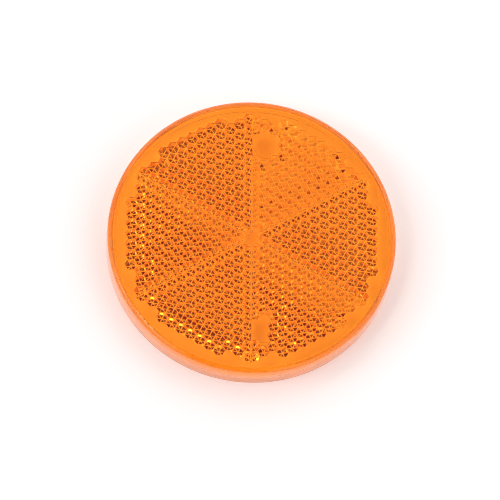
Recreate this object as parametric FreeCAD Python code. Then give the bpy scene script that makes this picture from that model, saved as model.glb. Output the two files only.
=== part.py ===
import FreeCAD, Part
import math
import os

# Round self-adhesive bicycle reflector: an amber lens with cube-corner prisms on its back, a back plate
# that seals the air behind them, a foam pad and its release liner. It lies on its back: +Z leaves the
# front face, and the origin is the middle of the liner's outer side.

# Driving dimensions, millimetres and degrees

# Lens
lens_diameter = 60.0
front_wall = 1.0            # plain thickness of the clear front
front_edge_radius = 1.0     # rounding round the front face
foot_chamfer = 0.12         # round the outside of the skirt's foot
skirt_wall = 1.1            # skirt beside the air gap
ledge_width = 0.4           # step that the back plate is welded to
skirt_overlap = 0.9         # how far the skirt reaches past the back plate

# Prism field
prism_pitch = 2.28          # across the flats of one hexagonal prism
prism_pedestal = 0.15       # least height of the field's outer wall
clear_rim = 1.3             # least width of the plain ring between the field and the skirt
tip_clearance = 1.05        # air between the prism tips and the back plate
plain_pin_width = 2.6       # across the flats of the plain hexagonal pin in the middle
plain_pin_drop = 0.1        # its flat end below the prism tips

# Plain raised lands on the front face
land_height = 0.12
land_edge_gap = 4.0         # from a land to the edge of the prism field
round_land_diameter = 6.2
round_land_direction = 81.0
long_land_length = 6.2
long_land_width = 4.6
long_land_corner = 0.8
long_land_direction = -84.0

# Pieces behind the lens
plate_thickness = 1.8
plate_clearance = 0.1       # round the back plate in its seat
pad_thickness = 1.1
pad_edge_gap = 1.8          # between the pad and the skirt
liner_thickness = 0.1
liner_overhang = 0.5        # liner past the pad, to peel it by

# Heights, from the liner up
pad_bottom = liner_thickness
plate_bottom = pad_bottom + pad_thickness
foot_height = plate_bottom - skirt_overlap
plate_top = plate_bottom + plate_thickness

# A cube corner seen along its axis is a regular hexagon. Its edge and the heights of its corners follow
# from the pitch. A near corner ends an edge that starts at the tip; a far corner is across a face from it.
cube_edge = prism_pitch / math.sqrt(2)
hexagon_side = prism_pitch / math.sqrt(3)
tip_height = plate_top + tip_clearance
near_corner_height = tip_height + cube_edge / math.sqrt(3)
far_corner_height = tip_height + 2 * cube_edge / math.sqrt(3)
ceiling_height = far_corner_height + prism_pedestal
front_height = ceiling_height + front_wall

# Radii
lens_radius = lens_diameter / 2
cavity_radius = lens_radius - skirt_wall
seat_radius = cavity_radius + ledge_width
field_radius = cavity_radius - clear_rim
plate_radius = seat_radius - plate_clearance
pad_radius = seat_radius - pad_edge_gap
liner_radius = pad_radius + liner_overhang

# The prism lattice has whole-number coordinates (i, j), in steps of one hexagon side along 0 and 60
# degrees. Where i - j is a multiple of 3 there is a near corner. The other points are tips and far corners,
# which change places from sector to sector: two sectors mirror each other across the line between them.
sixth_turn = math.radians(60)


def six_turns(first):
    # A lattice step and its copies, each a sixth of a turn on from the one before
    steps = [first]
    while len(steps) < 6:
        i, j = steps[-1]
        steps.append((-j, i + j))
    return steps


corner_steps = six_turns((1, 0))


def lattice_xy(i, j):
    return hexagon_side * (i + j * math.cos(sixth_turn)), hexagon_side * j * math.sin(sixth_turn)


def lattice_point(place, height):
    x, y = lattice_xy(*place)
    return FreeCAD.Vector(x, y, height)


def step(place, move):
    return place[0] + move[0], place[1] + move[1]


def is_near_corner(place):
    return (place[0] - place[1]) % 3 == 0


def sector_of(place):
    x, y = lattice_xy(*place)
    return round(math.atan2(y, x) / sixth_turn) % 6


def is_tip(place):
    return (place[0] - place[1]) % 3 == 1 + sector_of(place) % 2


def polar_xy(radius, direction):
    return radius * math.cos(math.radians(direction)), radius * math.sin(math.radians(direction))


def polygon_face(points):
    return Part.Face(Part.makePolygon(points + points[:1]))


def round_land():
    x, y = polar_xy(field_radius - land_edge_gap - round_land_diameter / 2, round_land_direction)
    edge = Part.makeCircle(round_land_diameter / 2, FreeCAD.Vector(x, y, front_height))
    return Part.Face(Part.Wire(edge))


def long_land():
    x, y = polar_xy(field_radius - land_edge_gap - long_land_length / 2, long_land_direction)
    half_width = long_land_width / 2
    half_length = long_land_length / 2
    corner = long_land_corner
    slant = corner * (1 - math.sqrt(0.5))

    def at(dx, dy):
        return FreeCAD.Vector(x + dx, y + dy, front_height)

    edges = []
    for sx, sy in ((1, 1), (-1, 1), (-1, -1), (1, -1)):
        start = at(sx * half_width, sy * (half_length - corner))
        middle = at(sx * (half_width - slant), sy * (half_length - slant))
        end = at(sx * (half_width - corner), sy * half_length)
        if sx != sy:
            start, end = end, start
        if edges:
            edges.append(Part.makeLine(edges[-1].lastVertex().Point, start))
        edges.append(Part.Arc(start, middle, end).toShape())
    edges.append(Part.makeLine(edges[-1].lastVertex().Point, edges[0].firstVertex().Point))
    return Part.Face(Part.Wire(edges))


def prism_centres(lands):
    # Whole prisms inside the field's circle, less those behind a bare land
    reach = int(2 * field_radius / hexagon_side)
    kept = []
    for i in range(-reach, reach + 1):
        for j in range(-reach, reach + 1):
            if not is_tip((i, j)):
                continue
            x, y = lattice_xy(i, j)
            if math.hypot(x, y) + hexagon_side > field_radius:
                continue
            over = FreeCAD.Vector(x, y, front_height)
            if any(land.isInside(over, 1e-6, True) for land in lands):
                continue
            kept.append((i, j))
    return kept


def rim_point(corner):
    return lattice_point(corner, near_corner_height if is_near_corner(corner) else far_corner_height)


def prism_rim(centre):
    # The corners round a prism, without a far corner that is past the line to the next sector
    corners = [step(centre, move) for move in corner_steps]
    return [c for c in corners if is_near_corner(c) or sector_of(c) == sector_of(centre)]


def prism_faces(centre):
    # Three squares that meet at the tip; one that crosses the line to the next sector is cut in half there
    tip = lattice_point(centre, tip_height)
    rim = prism_rim(centre)
    turned = [rim[k:] + rim[:k] for k in range(len(rim)) if is_near_corner(rim[k])]
    faces = []
    for first, second, third, *rest in turned:
        side = [first, second] if is_near_corner(second) else [first, second, third]
        faces.append(polygon_face([tip] + [rim_point(corner) for corner in side]))
    return faces


def outer_wall(corner, following):
    # From an edge that no other prism shares up to the ceiling
    top = [lattice_point(place, ceiling_height) for place in (corner, following)]
    return polygon_face([rim_point(corner)] + top + [rim_point(following)])


def prism_field(centres):
    # The field as plane faces, and the loops where its outer walls stand on the ceiling
    faces = []
    edges = {}
    for centre in centres:
        faces += prism_faces(centre)
        rim = prism_rim(centre)
        for corner, following in zip(rim, rim[1:] + rim[:1]):
            edges[corner, following] = True
    follows = {corner: following for corner, following in edges if (following, corner) not in edges}
    faces += [outer_wall(corner, following) for corner, following in follows.items()]
    return faces, ceiling_loops(follows)


def ceiling_loops(follows):
    # Closed lines through the corners, each of which follows another
    loops = []
    left = dict(follows)
    while left:
        corner = next(iter(left))
        points = []
        while corner in left:
            points.append(lattice_point(corner, ceiling_height))
            corner = left.pop(corner)
        loops.append(Part.makePolygon(points + points[:1]))
    return loops


def plain_pin():
    # The bare hexagon in the middle of the field, down from inside the lens
    end_height = tip_height - plain_pin_drop
    corner = plain_pin_width / math.sqrt(3)
    end = polygon_face([FreeCAD.Vector(*polar_xy(corner, 60 * k), end_height) for k in range(6)])
    return end.extrude(FreeCAD.Vector(0, 0, ceiling_height - end_height))


def lens_skin():
    # Section from the edge of the ceiling down the inside, round the foot and up to the middle of the front
    def at(r, z):
        return FreeCAD.Vector(r, 0, z)

    corners = [
        at(cavity_radius, ceiling_height),
        at(cavity_radius, plate_top),
        at(seat_radius, plate_top),
        at(seat_radius, foot_height),
        at(lens_radius - foot_chamfer, foot_height),
        at(lens_radius, foot_height + foot_chamfer),
        at(lens_radius, front_height - front_edge_radius),
    ]
    runs = Part.makePolygon(corners).Edges
    inset = front_edge_radius * (1 - math.sqrt(0.5))
    edge_middle = at(lens_radius - inset, front_height - inset)
    front_rim = at(lens_radius - front_edge_radius, front_height)
    runs.append(Part.Arc(corners[-1], edge_middle, front_rim).toShape())
    runs.append(Part.makeLine(front_rim, at(0, front_height)))
    return Part.Wire(runs).revolve(FreeCAD.Vector(0, 0, 0), FreeCAD.Vector(0, 0, 1), 360)


def make_lens():
    lands = [round_land(), long_land()]
    faces, loops = prism_field(prism_centres(lands))
    ceiling_edge = Part.Wire(Part.makeCircle(cavity_radius, FreeCAD.Vector(0, 0, ceiling_height)))
    ceiling = Part.makeFace([ceiling_edge] + loops, "Part::FaceMakerBullseye")
    shell = Part.makeShell(faces + ceiling.Faces + lens_skin().Faces)
    shell.sewShape()
    body = Part.makeSolid(shell)
    if body.Volume < 0:
        body.reverse()
    raised = [land.extrude(FreeCAD.Vector(0, 0, land_height)) for land in lands]
    return body.fuse(raised + [plain_pin()])


def make_back_plate():
    return Part.makeCylinder(plate_radius, plate_thickness, FreeCAD.Vector(0, 0, plate_bottom))


def make_adhesive_pad():
    return Part.makeCylinder(pad_radius, pad_thickness, FreeCAD.Vector(0, 0, pad_bottom))


def make_release_liner():
    return Part.makeCylinder(liner_radius, liner_thickness)


os.makedirs("parts", exist_ok=True)
pieces = {
    "lens": make_lens(),
    "back_plate": make_back_plate(),
    "adhesive_pad": make_adhesive_pad(),
    "release_liner": make_release_liner(),
}
for name, shape in pieces.items():
    shape.exportStep("parts/" + name + ".step")
    box = shape.BoundBox
    print(name, len(shape.Solids), "solid", len(shape.Faces), "faces", "valid", shape.isValid(),
          "volume %.1f mm3" % shape.Volume, "z %.3f to %.3f" % (box.ZMin, box.ZMax))
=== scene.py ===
import bpy
import bmesh
import math
from mathutils import Matrix, Vector


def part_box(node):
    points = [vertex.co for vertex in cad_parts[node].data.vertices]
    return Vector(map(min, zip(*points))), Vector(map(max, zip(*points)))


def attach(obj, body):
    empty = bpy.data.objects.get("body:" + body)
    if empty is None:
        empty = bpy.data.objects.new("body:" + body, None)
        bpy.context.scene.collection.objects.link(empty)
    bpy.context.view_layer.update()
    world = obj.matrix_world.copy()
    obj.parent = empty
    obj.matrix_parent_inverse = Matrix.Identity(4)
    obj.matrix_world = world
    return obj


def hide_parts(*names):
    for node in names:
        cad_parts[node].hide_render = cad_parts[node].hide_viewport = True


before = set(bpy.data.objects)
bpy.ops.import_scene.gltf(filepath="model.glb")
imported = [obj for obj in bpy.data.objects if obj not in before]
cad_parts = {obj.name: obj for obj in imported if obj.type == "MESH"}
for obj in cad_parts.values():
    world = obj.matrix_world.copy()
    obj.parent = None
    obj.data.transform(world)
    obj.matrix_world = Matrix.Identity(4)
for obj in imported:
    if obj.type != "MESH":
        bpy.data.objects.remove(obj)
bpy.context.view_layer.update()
scene = bpy.context.scene
mm = 0.001
touch = 0.001*mm  # points and heights nearer than this count as the same
print("frame loaded:", ", ".join(sorted(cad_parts)))

# camera, as the photo looks down on the reflector
camera = {
    "elevation": math.radians(69.25),
    "azimuth": math.radians(-9.33),
    "roll": math.radians(10.35),
    "distance": 1500*mm,
    "pixelsPerMetre": 4802,
    "frame": 500,              # pixels, square
    "origin": (249.9, 247.4),  # where the part's origin shows
    "sensor": 36,
    "clipStart": 0.01,
    "clipEnd": 50,
}


def placeCamera(c):
    back = Vector((
        math.sin(c["azimuth"])*math.cos(c["elevation"]),
        -math.cos(c["azimuth"])*math.cos(c["elevation"]),
        math.sin(c["elevation"])))
    level = Vector((math.cos(c["azimuth"]), math.sin(c["azimuth"]), 0))
    upright = back.cross(level)
    right = level*math.cos(c["roll"]) + upright*math.sin(c["roll"])
    up = upright*math.cos(c["roll"]) - level*math.sin(c["roll"])
    offX = (c["origin"][0] - c["frame"]/2)/c["pixelsPerMetre"]
    offY = (c["origin"][1] - c["frame"]/2)/c["pixelsPerMetre"]
    eye = back*c["distance"] - right*offX + up*offY
    data = bpy.data.cameras.new("camera")
    data.sensor_width = c["sensor"]
    data.lens = c["sensor"]*c["distance"]*c["pixelsPerMetre"]/c["frame"]
    data.clip_start = c["clipStart"]
    data.clip_end = c["clipEnd"]
    cam = bpy.data.objects.new("camera", data)
    scene.collection.objects.link(cam)
    cam.matrix_world = Matrix((
        (right.x, up.x, back.x, eye.x),
        (right.y, up.y, back.y, eye.y),
        (right.z, up.z, back.z, eye.z),
        (0, 0, 0, 1)))
    scene.camera = cam


placeCamera(camera)
scene.view_settings.view_transform = "Standard"
print("camera placed")


# steps that the node trees share
def feed(links, socket, value):
    # value is another node's output, a colour or a number
    if isinstance(value, bpy.types.NodeSocket):
        links.new(value, socket)
    elif isinstance(value, tuple):
        socket.default_value = value + (1,)
    else:
        socket.default_value = value


def mathStep(nodes, links, operation, one, other):
    node = nodes.new("ShaderNodeMath")
    node.operation = operation
    feed(links, node.inputs[0], one)
    feed(links, node.inputs[1], other)
    return node.outputs[0]


def vectorStep(nodes, links, operation, vector, other=None):
    node = nodes.new("ShaderNodeVectorMath")
    node.operation = operation
    links.new(vector, node.inputs[0])
    if other is not None:
        node.inputs[1].default_value = other
    return node.outputs["Value" if operation in ("DOT_PRODUCT", "LENGTH") else "Vector"]


def softStep(nodes, links, value, low, high):
    step = nodes.new("ShaderNodeMapRange")
    step.interpolation_type = "SMOOTHSTEP"
    step.inputs["From Min"].default_value = low
    step.inputs["From Max"].default_value = high
    links.new(value, step.inputs["Value"])
    return step.outputs["Result"]


def spread(nodes, links, value, fromLow, fromHigh, low, high):
    fit = nodes.new("ShaderNodeMapRange")
    fit.inputs["From Min"].default_value = fromLow
    fit.inputs["From Max"].default_value = fromHigh
    fit.inputs["To Min"].default_value = low
    fit.inputs["To Max"].default_value = high
    links.new(value, fit.inputs["Value"])
    return fit.outputs["Result"]


def blendColours(nodes, links, factor, low, high):
    mix = nodes.new("ShaderNodeMix")
    mix.data_type = "RGBA"
    feed(links, mix.inputs["A"], low)
    feed(links, mix.inputs["B"], high)
    links.new(factor, mix.inputs["Factor"])
    return mix.outputs["Result"]


# light tent round the object: two window panes on its left, a dark doorway where the camera looks in
tent = {
    "wall": (1.55, 1.55, 1.55),
    "roof": (0.38, 0.38, 0.38),
    "wallEnds": math.radians(56),           # elevation where the wall starts to fade
    "roofStarts": math.radians(64),
    "pane": (6.2, 6.2, 6.2),
    "panes": [(-149, 52.7), (-176, 32.5)],  # azimuth and elevation of each, degrees
    "paneEdge": math.radians(10),
    "paneSoft": math.radians(2.5),          # half of a pane's soft edge
    "dark": (0.17, 0.006, 0.003),           # the room behind the camera
    "hoodEdge": math.radians(26),           # round the camera's own way
    "doorEdge": math.radians(26),           # half the width of the doorway under it
    "doorTop": math.radians(66),
    "doorSoft": math.radians(5),            # half of the doorway's and the hood's soft edges
}


def wayOf(azimuth, elevation):
    return Vector((
        math.cos(azimuth)*math.cos(elevation),
        math.sin(azimuth)*math.cos(elevation),
        math.sin(elevation)))


def makeTent(t, c):
    world = bpy.data.worlds.new("tent")
    scene.world = world
    world.use_nodes = True
    nodes, links = world.node_tree.nodes, world.node_tree.links
    way = nodes.new("ShaderNodeTexCoord").outputs["Generated"]
    split = nodes.new("ShaderNodeSeparateXYZ")
    links.new(way, split.inputs[0])
    height = split.outputs["Z"]
    heading = vectorStep(nodes, links, "NORMALIZE", vectorStep(nodes, links, "MULTIPLY", way, (1, 1, 0)))

    def near(vector, middle, edge, soft):
        # 1 inside the given angle from a direction, 0 outside it
        turn = vectorStep(nodes, links, "DOT_PRODUCT", vector, middle)
        return softStep(nodes, links, turn, math.cos(edge + soft), math.cos(edge - soft))

    roof = softStep(nodes, links, height, math.sin(t["wallEnds"]), math.sin(t["roofStarts"]))
    colour = blendColours(nodes, links, roof, t["wall"], t["roof"])
    for azimuth, elevation in t["panes"]:
        middle = wayOf(math.radians(azimuth), math.radians(elevation))
        pane = near(way, middle, t["paneEdge"], t["paneSoft"])
        colour = blendColours(nodes, links, pane, colour, t["pane"])
    cameraAzimuth = c["azimuth"] - math.pi/2
    top, soft = t["doorTop"], t["doorSoft"]
    hood = near(way, wayOf(cameraAzimuth, c["elevation"]), t["hoodEdge"], soft)
    door = near(heading, wayOf(cameraAzimuth, 0), t["doorEdge"], soft)
    underTop = softStep(nodes, links, height, math.sin(top + soft), math.sin(top - soft))
    doorway = mathStep(nodes, links, "MULTIPLY", door, underTop)
    opening = mathStep(nodes, links, "MAXIMUM", hood, doorway)
    colour = blendColours(nodes, links, opening, colour, t["dark"])
    links.new(colour, nodes["Background"].inputs["Color"])


makeTent(tent, camera)
scene.cycles.max_bounces = 32
scene.cycles.glossy_bounces = 24
scene.cycles.transmission_bounces = 24
scene.cycles.blur_glossy = 0  # the prisms stay sharp in every bounce
scene.cycles.filter_width = 1.0
print("light tent up")


# what the materials share
def mouldedGrain():
    # soft mottling and a fine grain for moulded plastic, on Object coordinates
    group = bpy.data.node_groups.new("mouldedGrain", "ShaderNodeTree")
    face = group.interface
    face.new_socket("Mottle Scale", in_out="INPUT", socket_type="NodeSocketFloat")
    face.new_socket("Grain Scale", in_out="INPUT", socket_type="NodeSocketFloat")
    face.new_socket("Mottle", in_out="OUTPUT", socket_type="NodeSocketFloat")
    face.new_socket("Grain", in_out="OUTPUT", socket_type="NodeSocketFloat")
    nodes, links = group.nodes, group.links
    start = nodes.new("NodeGroupInput")
    end = nodes.new("NodeGroupOutput")
    coord = nodes.new("ShaderNodeTexCoord")
    for name, detail in (("Mottle", 2), ("Grain", 3)):
        noise = nodes.new("ShaderNodeTexNoise")
        noise.inputs["Detail"].default_value = detail
        links.new(coord.outputs["Object"], noise.inputs["Vector"])
        links.new(start.outputs[name + " Scale"], noise.inputs["Scale"])
        links.new(noise.outputs["Fac"], end.inputs[name])
    return group


grainGroup = mouldedGrain()


def newMaterial(name):
    mat = bpy.data.materials.new(name)
    mat.use_nodes = True
    nodes, links = mat.node_tree.nodes, mat.node_tree.links
    return mat, nodes, links, nodes["Principled BSDF"]


def addGrain(nodes, mottleScale, grainScale=0):
    grain = nodes.new("ShaderNodeGroup")
    grain.node_tree = grainGroup
    grain.inputs["Mottle Scale"].default_value = mottleScale
    grain.inputs["Grain Scale"].default_value = grainScale
    return grain


def addBump(nodes, links, bsdf, height, strength, depth):
    bump = nodes.new("ShaderNodeBump")
    bump.inputs["Strength"].default_value = strength
    bump.inputs["Distance"].default_value = depth
    links.new(height, bump.inputs["Height"])
    links.new(bump.outputs["Normal"], bsdf.inputs["Normal"])


# amber lens: the solid's own mesh, with the prism edges rounded as moulding leaves them
amberLens = {
    "slant": 1/math.sqrt(3),  # upright part of a prism face's normal
    "slantMargin": 0.01,
    "fieldReach": 27.9*mm,    # the prisms are inside this radius
    "flatAngle": math.radians(1),
    "edgeRound": 0.16*mm,     # from a prism edge to the flat of its face
    "edgeSegments": 4,
    "creaseRound": 0.3*mm,    # at the lines between the sectors
    "cornerRadius": 28.9*mm,  # where the skirt's inside meets the ceiling
    "cornerMargin": 0.01*mm,
    "cornerRise": 1*mm,       # that corner is at least this far above the back plate
    "cornerRound": 0.3*mm,
    "cornerSegments": 4,
    "roundProfile": 0.5,      # part of a circle
    "weldGap": 0.02*mm,       # keeps the ledge's face off the back plate's
    "ledgeReach": 29.5*mm,
    "levelNormal": 0.999,     # upright part of the normal of a flat, level face
    "sharpAngle": math.radians(50),
    "mottleScale": 120,
    "tintPale": (1.0, 0.315, 0.02),
    "tintDeep": (1.0, 0.285, 0.017),
    "tintInside": (1.0, 0.99, 0.97),
    "wallRadius": 29.6*mm,    # the outside is past this radius or above this height
    "wallHeight": 6.3*mm,
    "mattHeight": 3.05*mm,    # the weld and the foot are matt up to here, except on the outside
    "mattReach": 29.95*mm,
    "mattRough": 0.5,
    "ior": 1.49,
    "gleam": (1.0, 0.8, 0.65),  # warm tint of what its surface mirrors
    "absorbColour": (1.0, 0.4, 0.2),
    "absorbDensity": 34,
}


def isPrismFace(face):
    lean = abs(abs(face.normal.z) - amberLens["slant"])
    reach = face.calc_center_median().to_2d().length
    return lean < amberLens["slantMargin"] and reach < amberLens["fieldReach"]


def joinsPrisms(edge):
    return len(edge.link_faces) == 2 and all(isPrismFace(f) for f in edge.link_faces)


def isLevel(edge):
    return abs(edge.verts[0].co.z - edge.verts[1].co.z) < touch


def buildLens(p):
    bm = bmesh.new()
    bm.from_mesh(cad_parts["lens"].data)
    bmesh.ops.remove_doubles(bm, verts=bm.verts, dist=touch)
    bm.normal_update()
    flatSeams = [e for e in bm.edges if joinsPrisms(e) and e.calc_face_angle() < p["flatAngle"]]
    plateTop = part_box("back_plate")[1][2]
    onPlate = [v for v in bm.verts if abs(v.co.z - plateTop) < touch]
    ledge = [v for v in onPlate if v.co.to_2d().length < p["ledgeReach"]]
    bmesh.ops.translate(bm, verts=ledge, vec=(0, 0, p["weldGap"]))
    bmesh.ops.dissolve_edges(bm, edges=flatSeams)
    corner = []
    for edge in bm.edges:
        onRing = all(abs(v.co.to_2d().length - p["cornerRadius"]) < p["cornerMargin"] for v in edge.verts)
        if onRing and isLevel(edge) and edge.verts[0].co.z > plateTop + p["cornerRise"]:
            corner.append(edge)
    bmesh.ops.bevel(
        bm, geom=corner, offset=p["cornerRound"], affect="EDGES", segments=p["cornerSegments"],
        profile=p["roundProfile"], material=-1)
    # one pass rounds all the prism edges: the level ones, between sectors, in full and the others in part
    share = bm.edges.layers.float.new("bevel_weight_edge")
    prismEdges = [e for e in bm.edges if joinsPrisms(e)]
    for edge in prismEdges:
        edge[share] = 1 if isLevel(edge) else p["edgeRound"]/p["creaseRound"]
    mesh = bpy.data.meshes.new("amberLens")
    bm.to_mesh(mesh)
    bm.free()
    lens = bpy.data.objects.new("amberLens", mesh)
    scene.collection.objects.link(lens)
    rounding = lens.modifiers.new("prismEdges", "BEVEL")
    rounding.limit_method = "WEIGHT"
    rounding.width = p["creaseRound"]
    rounding.segments = p["edgeSegments"]
    rounding.profile = p["roundProfile"]
    evaluated = lens.evaluated_get(bpy.context.evaluated_depsgraph_get())
    rounded = bpy.data.meshes.new_from_object(evaluated)
    lens.modifiers.clear()
    bm = bmesh.new()
    bm.from_mesh(rounded)
    bpy.data.meshes.remove(rounded)
    bm.normal_update()
    for face in bm.faces:
        level = abs(face.normal.z) > p["levelNormal"]
        face.smooth = not level and not isPrismFace(face)
    for edge in bm.edges:
        edge.smooth = edge.calc_face_angle(0) < p["sharpAngle"]
    bm.to_mesh(mesh)
    bm.free()
    if "custom_normal" in mesh.attributes:
        mesh.attributes.remove(mesh.attributes["custom_normal"])
    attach(lens, "root")
    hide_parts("lens")
    print("amber lens:", len(mesh.polygons), "faces,", len(prismEdges), "prism edges rounded")
    return lens


def amberAcrylic(p):
    mat, nodes, links, bsdf = newMaterial("amberAcrylic")
    grain = addGrain(nodes, p["mottleScale"])
    amber = blendColours(nodes, links, grain.outputs["Mottle"], p["tintDeep"], p["tintPale"])
    place = nodes.new("ShaderNodeTexCoord").outputs["Object"]
    reach = vectorStep(nodes, links, "LENGTH", vectorStep(nodes, links, "MULTIPLY", place, (1, 1, 0)))
    split = nodes.new("ShaderNodeSeparateXYZ")
    links.new(place, split.inputs[0])
    height = split.outputs["Z"]
    pastWall = mathStep(nodes, links, "GREATER_THAN", reach, p["wallRadius"])
    aboveWall = mathStep(nodes, links, "GREATER_THAN", height, p["wallHeight"])
    outside = mathStep(nodes, links, "MAXIMUM", pastWall, aboveWall)
    withinMatt = mathStep(nodes, links, "LESS_THAN", reach, p["mattReach"])
    belowMatt = mathStep(nodes, links, "LESS_THAN", height, p["mattHeight"])
    matt = mathStep(nodes, links, "MULTIPLY", withinMatt, belowMatt)
    tint = blendColours(nodes, links, outside, p["tintInside"], amber)
    links.new(tint, bsdf.inputs["Base Color"])
    links.new(spread(nodes, links, matt, 0, 1, 0, p["mattRough"]), bsdf.inputs["Roughness"])
    bsdf.inputs["IOR"].default_value = p["ior"]
    bsdf.inputs["Specular Tint"].default_value = p["gleam"] + (1,)
    bsdf.inputs["Transmission Weight"].default_value = 1
    depth = nodes.new("ShaderNodeVolumeAbsorption")
    depth.inputs["Color"].default_value = p["absorbColour"] + (1,)
    depth.inputs["Density"].default_value = p["absorbDensity"]
    links.new(depth.outputs["Volume"], nodes["Material Output"].inputs["Volume"])
    return mat


lens = buildLens(amberLens)
lens.data.materials.append(amberAcrylic(amberLens))


# back plate: satin white plastic, seen through the clear rim
backPlate = {
    "white": (0.97, 0.97, 0.95),
    "shade": (0.94, 0.93, 0.91),
    "mottleScale": 90,
    "grainScale": 3200,
    "grainLow": 0.3,
    "grainHigh": 0.7,
    "roughLow": 0.42,
    "roughHigh": 0.58,
    "bump": 0.15,
    "bumpDepth": 0.02*mm,
}


def satinWhite(p):
    mat, nodes, links, bsdf = newMaterial("satinWhite")
    grain = addGrain(nodes, p["mottleScale"], p["grainScale"])
    colour = blendColours(nodes, links, grain.outputs["Mottle"], p["shade"], p["white"])
    links.new(colour, bsdf.inputs["Base Color"])
    speck = grain.outputs["Grain"]
    rough = spread(nodes, links, speck, p["grainLow"], p["grainHigh"], p["roughLow"], p["roughHigh"])
    links.new(rough, bsdf.inputs["Roughness"])
    addBump(nodes, links, bsdf, speck, p["bump"], p["bumpDepth"])
    return mat


# foam pad: closed cells, cut clean round its edge, with painted shade in the sunk pores
foamPad = {
    "wall": (0.66, 0.66, 0.64),
    # painted shade: the sunk pores are darker than the cell walls
    "poreShade": (0.42, 0.42, 0.41),
    "cellScale": 4200,
    "poreEdge": 0.1,    # distances from a cell's middle, in the pattern's own measure
    "wallEdge": 0.55,
    "rough": 0.95,
    "bump": 0.5,
    "bumpDepth": 0.05*mm,
}


def foamTape(p):
    mat, nodes, links, bsdf = newMaterial("foamTape")
    coord = nodes.new("ShaderNodeTexCoord")
    cells = nodes.new("ShaderNodeTexVoronoi")
    cells.inputs["Scale"].default_value = p["cellScale"]
    links.new(coord.outputs["Object"], cells.inputs["Vector"])
    pores = spread(nodes, links, cells.outputs["Distance"], p["poreEdge"], p["wallEdge"], 0, 1)
    # painted shade: darker in the pores, which the bump also sinks
    links.new(blendColours(nodes, links, pores, p["poreShade"], p["wall"]), bsdf.inputs["Base Color"])
    bsdf.inputs["Roughness"].default_value = p["rough"]
    addBump(nodes, links, bsdf, pores, p["bump"], p["bumpDepth"])
    return mat


# release liner: siliconised paper, with short fibres in it
releaseLiner = {
    "paper": (0.88, 0.85, 0.76),
    "fibre": (0.8, 0.76, 0.64),
    "fibreScale": 1400,
    "fibreStretch": (1, 0.25, 1),
    "fibreDetail": 4,
    "fibreBend": 0.6,
    "fibreLow": 0.35,
    "fibreHigh": 0.65,
    "rough": 0.38,
    "bump": 0.12,
    "bumpDepth": 0.01*mm,
}


def linerPaper(p):
    mat, nodes, links, bsdf = newMaterial("linerPaper")
    coord = nodes.new("ShaderNodeTexCoord")
    stretch = nodes.new("ShaderNodeMapping")
    stretch.inputs["Scale"].default_value = p["fibreStretch"]
    fibres = nodes.new("ShaderNodeTexNoise")
    fibres.inputs["Scale"].default_value = p["fibreScale"]
    fibres.inputs["Detail"].default_value = p["fibreDetail"]
    fibres.inputs["Distortion"].default_value = p["fibreBend"]
    links.new(coord.outputs["Object"], stretch.inputs["Vector"])
    links.new(stretch.outputs["Vector"], fibres.inputs["Vector"])
    thread = spread(nodes, links, fibres.outputs["Fac"], p["fibreLow"], p["fibreHigh"], 0, 1)
    links.new(blendColours(nodes, links, thread, p["fibre"], p["paper"]), bsdf.inputs["Base Color"])
    bsdf.inputs["Roughness"].default_value = p["rough"]
    addBump(nodes, links, bsdf, fibres.outputs["Fac"], p["bump"], p["bumpDepth"])
    return mat


for node, mat in (
        ("back_plate", satinWhite(backPlate)),
        ("adhesive_pad", foamTape(foamPad)),
        ("release_liner", linerPaper(releaseLiner))):
    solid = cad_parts[node]
    solid.data.materials.clear()
    solid.data.materials.append(mat)
print("plate, pad and liner finished")

# floor: a wide white sheet
floorSheet = {
    "size": 6,
    "white": (0.93, 0.93, 0.93),
    "rough": 0.9,
    "drop": 0.02*mm,   # keeps it off the liner's face
    "plain": 0.2,      # how far a view, a reflection or the lens shows it as plain white
}


def layFloor(p):
    lowered = Matrix.Translation((0, 0, -p["drop"]))
    bm = bmesh.new()
    bmesh.ops.create_grid(bm, x_segments=1, y_segments=1, size=p["size"]/2, matrix=lowered)
    mesh = bpy.data.meshes.new("floorSheet")
    bm.to_mesh(mesh)
    bm.free()
    floor = bpy.data.objects.new("floorSheet", mesh)
    scene.collection.objects.link(floor)
    mat, nodes, links, bsdf = newMaterial("whiteSheet")
    bsdf.inputs["Base Color"].default_value = p["white"] + (1,)
    bsdf.inputs["Roughness"].default_value = p["rough"]
    path = nodes.new("ShaderNodeLightPath")
    seen = path.outputs["Is Camera Ray"]
    for ray in ("Is Glossy Ray", "Is Transmission Ray"):
        seen = mathStep(nodes, links, "MAXIMUM", seen, path.outputs[ray])
    wash = nodes.new("ShaderNodeMixShader")
    links.new(spread(nodes, links, seen, 0, 1, 0, p["plain"]), wash.inputs["Fac"])
    links.new(bsdf.outputs[0], wash.inputs[1])
    links.new(nodes.new("ShaderNodeEmission").outputs[0], wash.inputs[2])
    links.new(wash.outputs[0], nodes["Material Output"].inputs["Surface"])
    mesh.materials.append(mat)


layFloor(floorSheet)
print("floor laid")
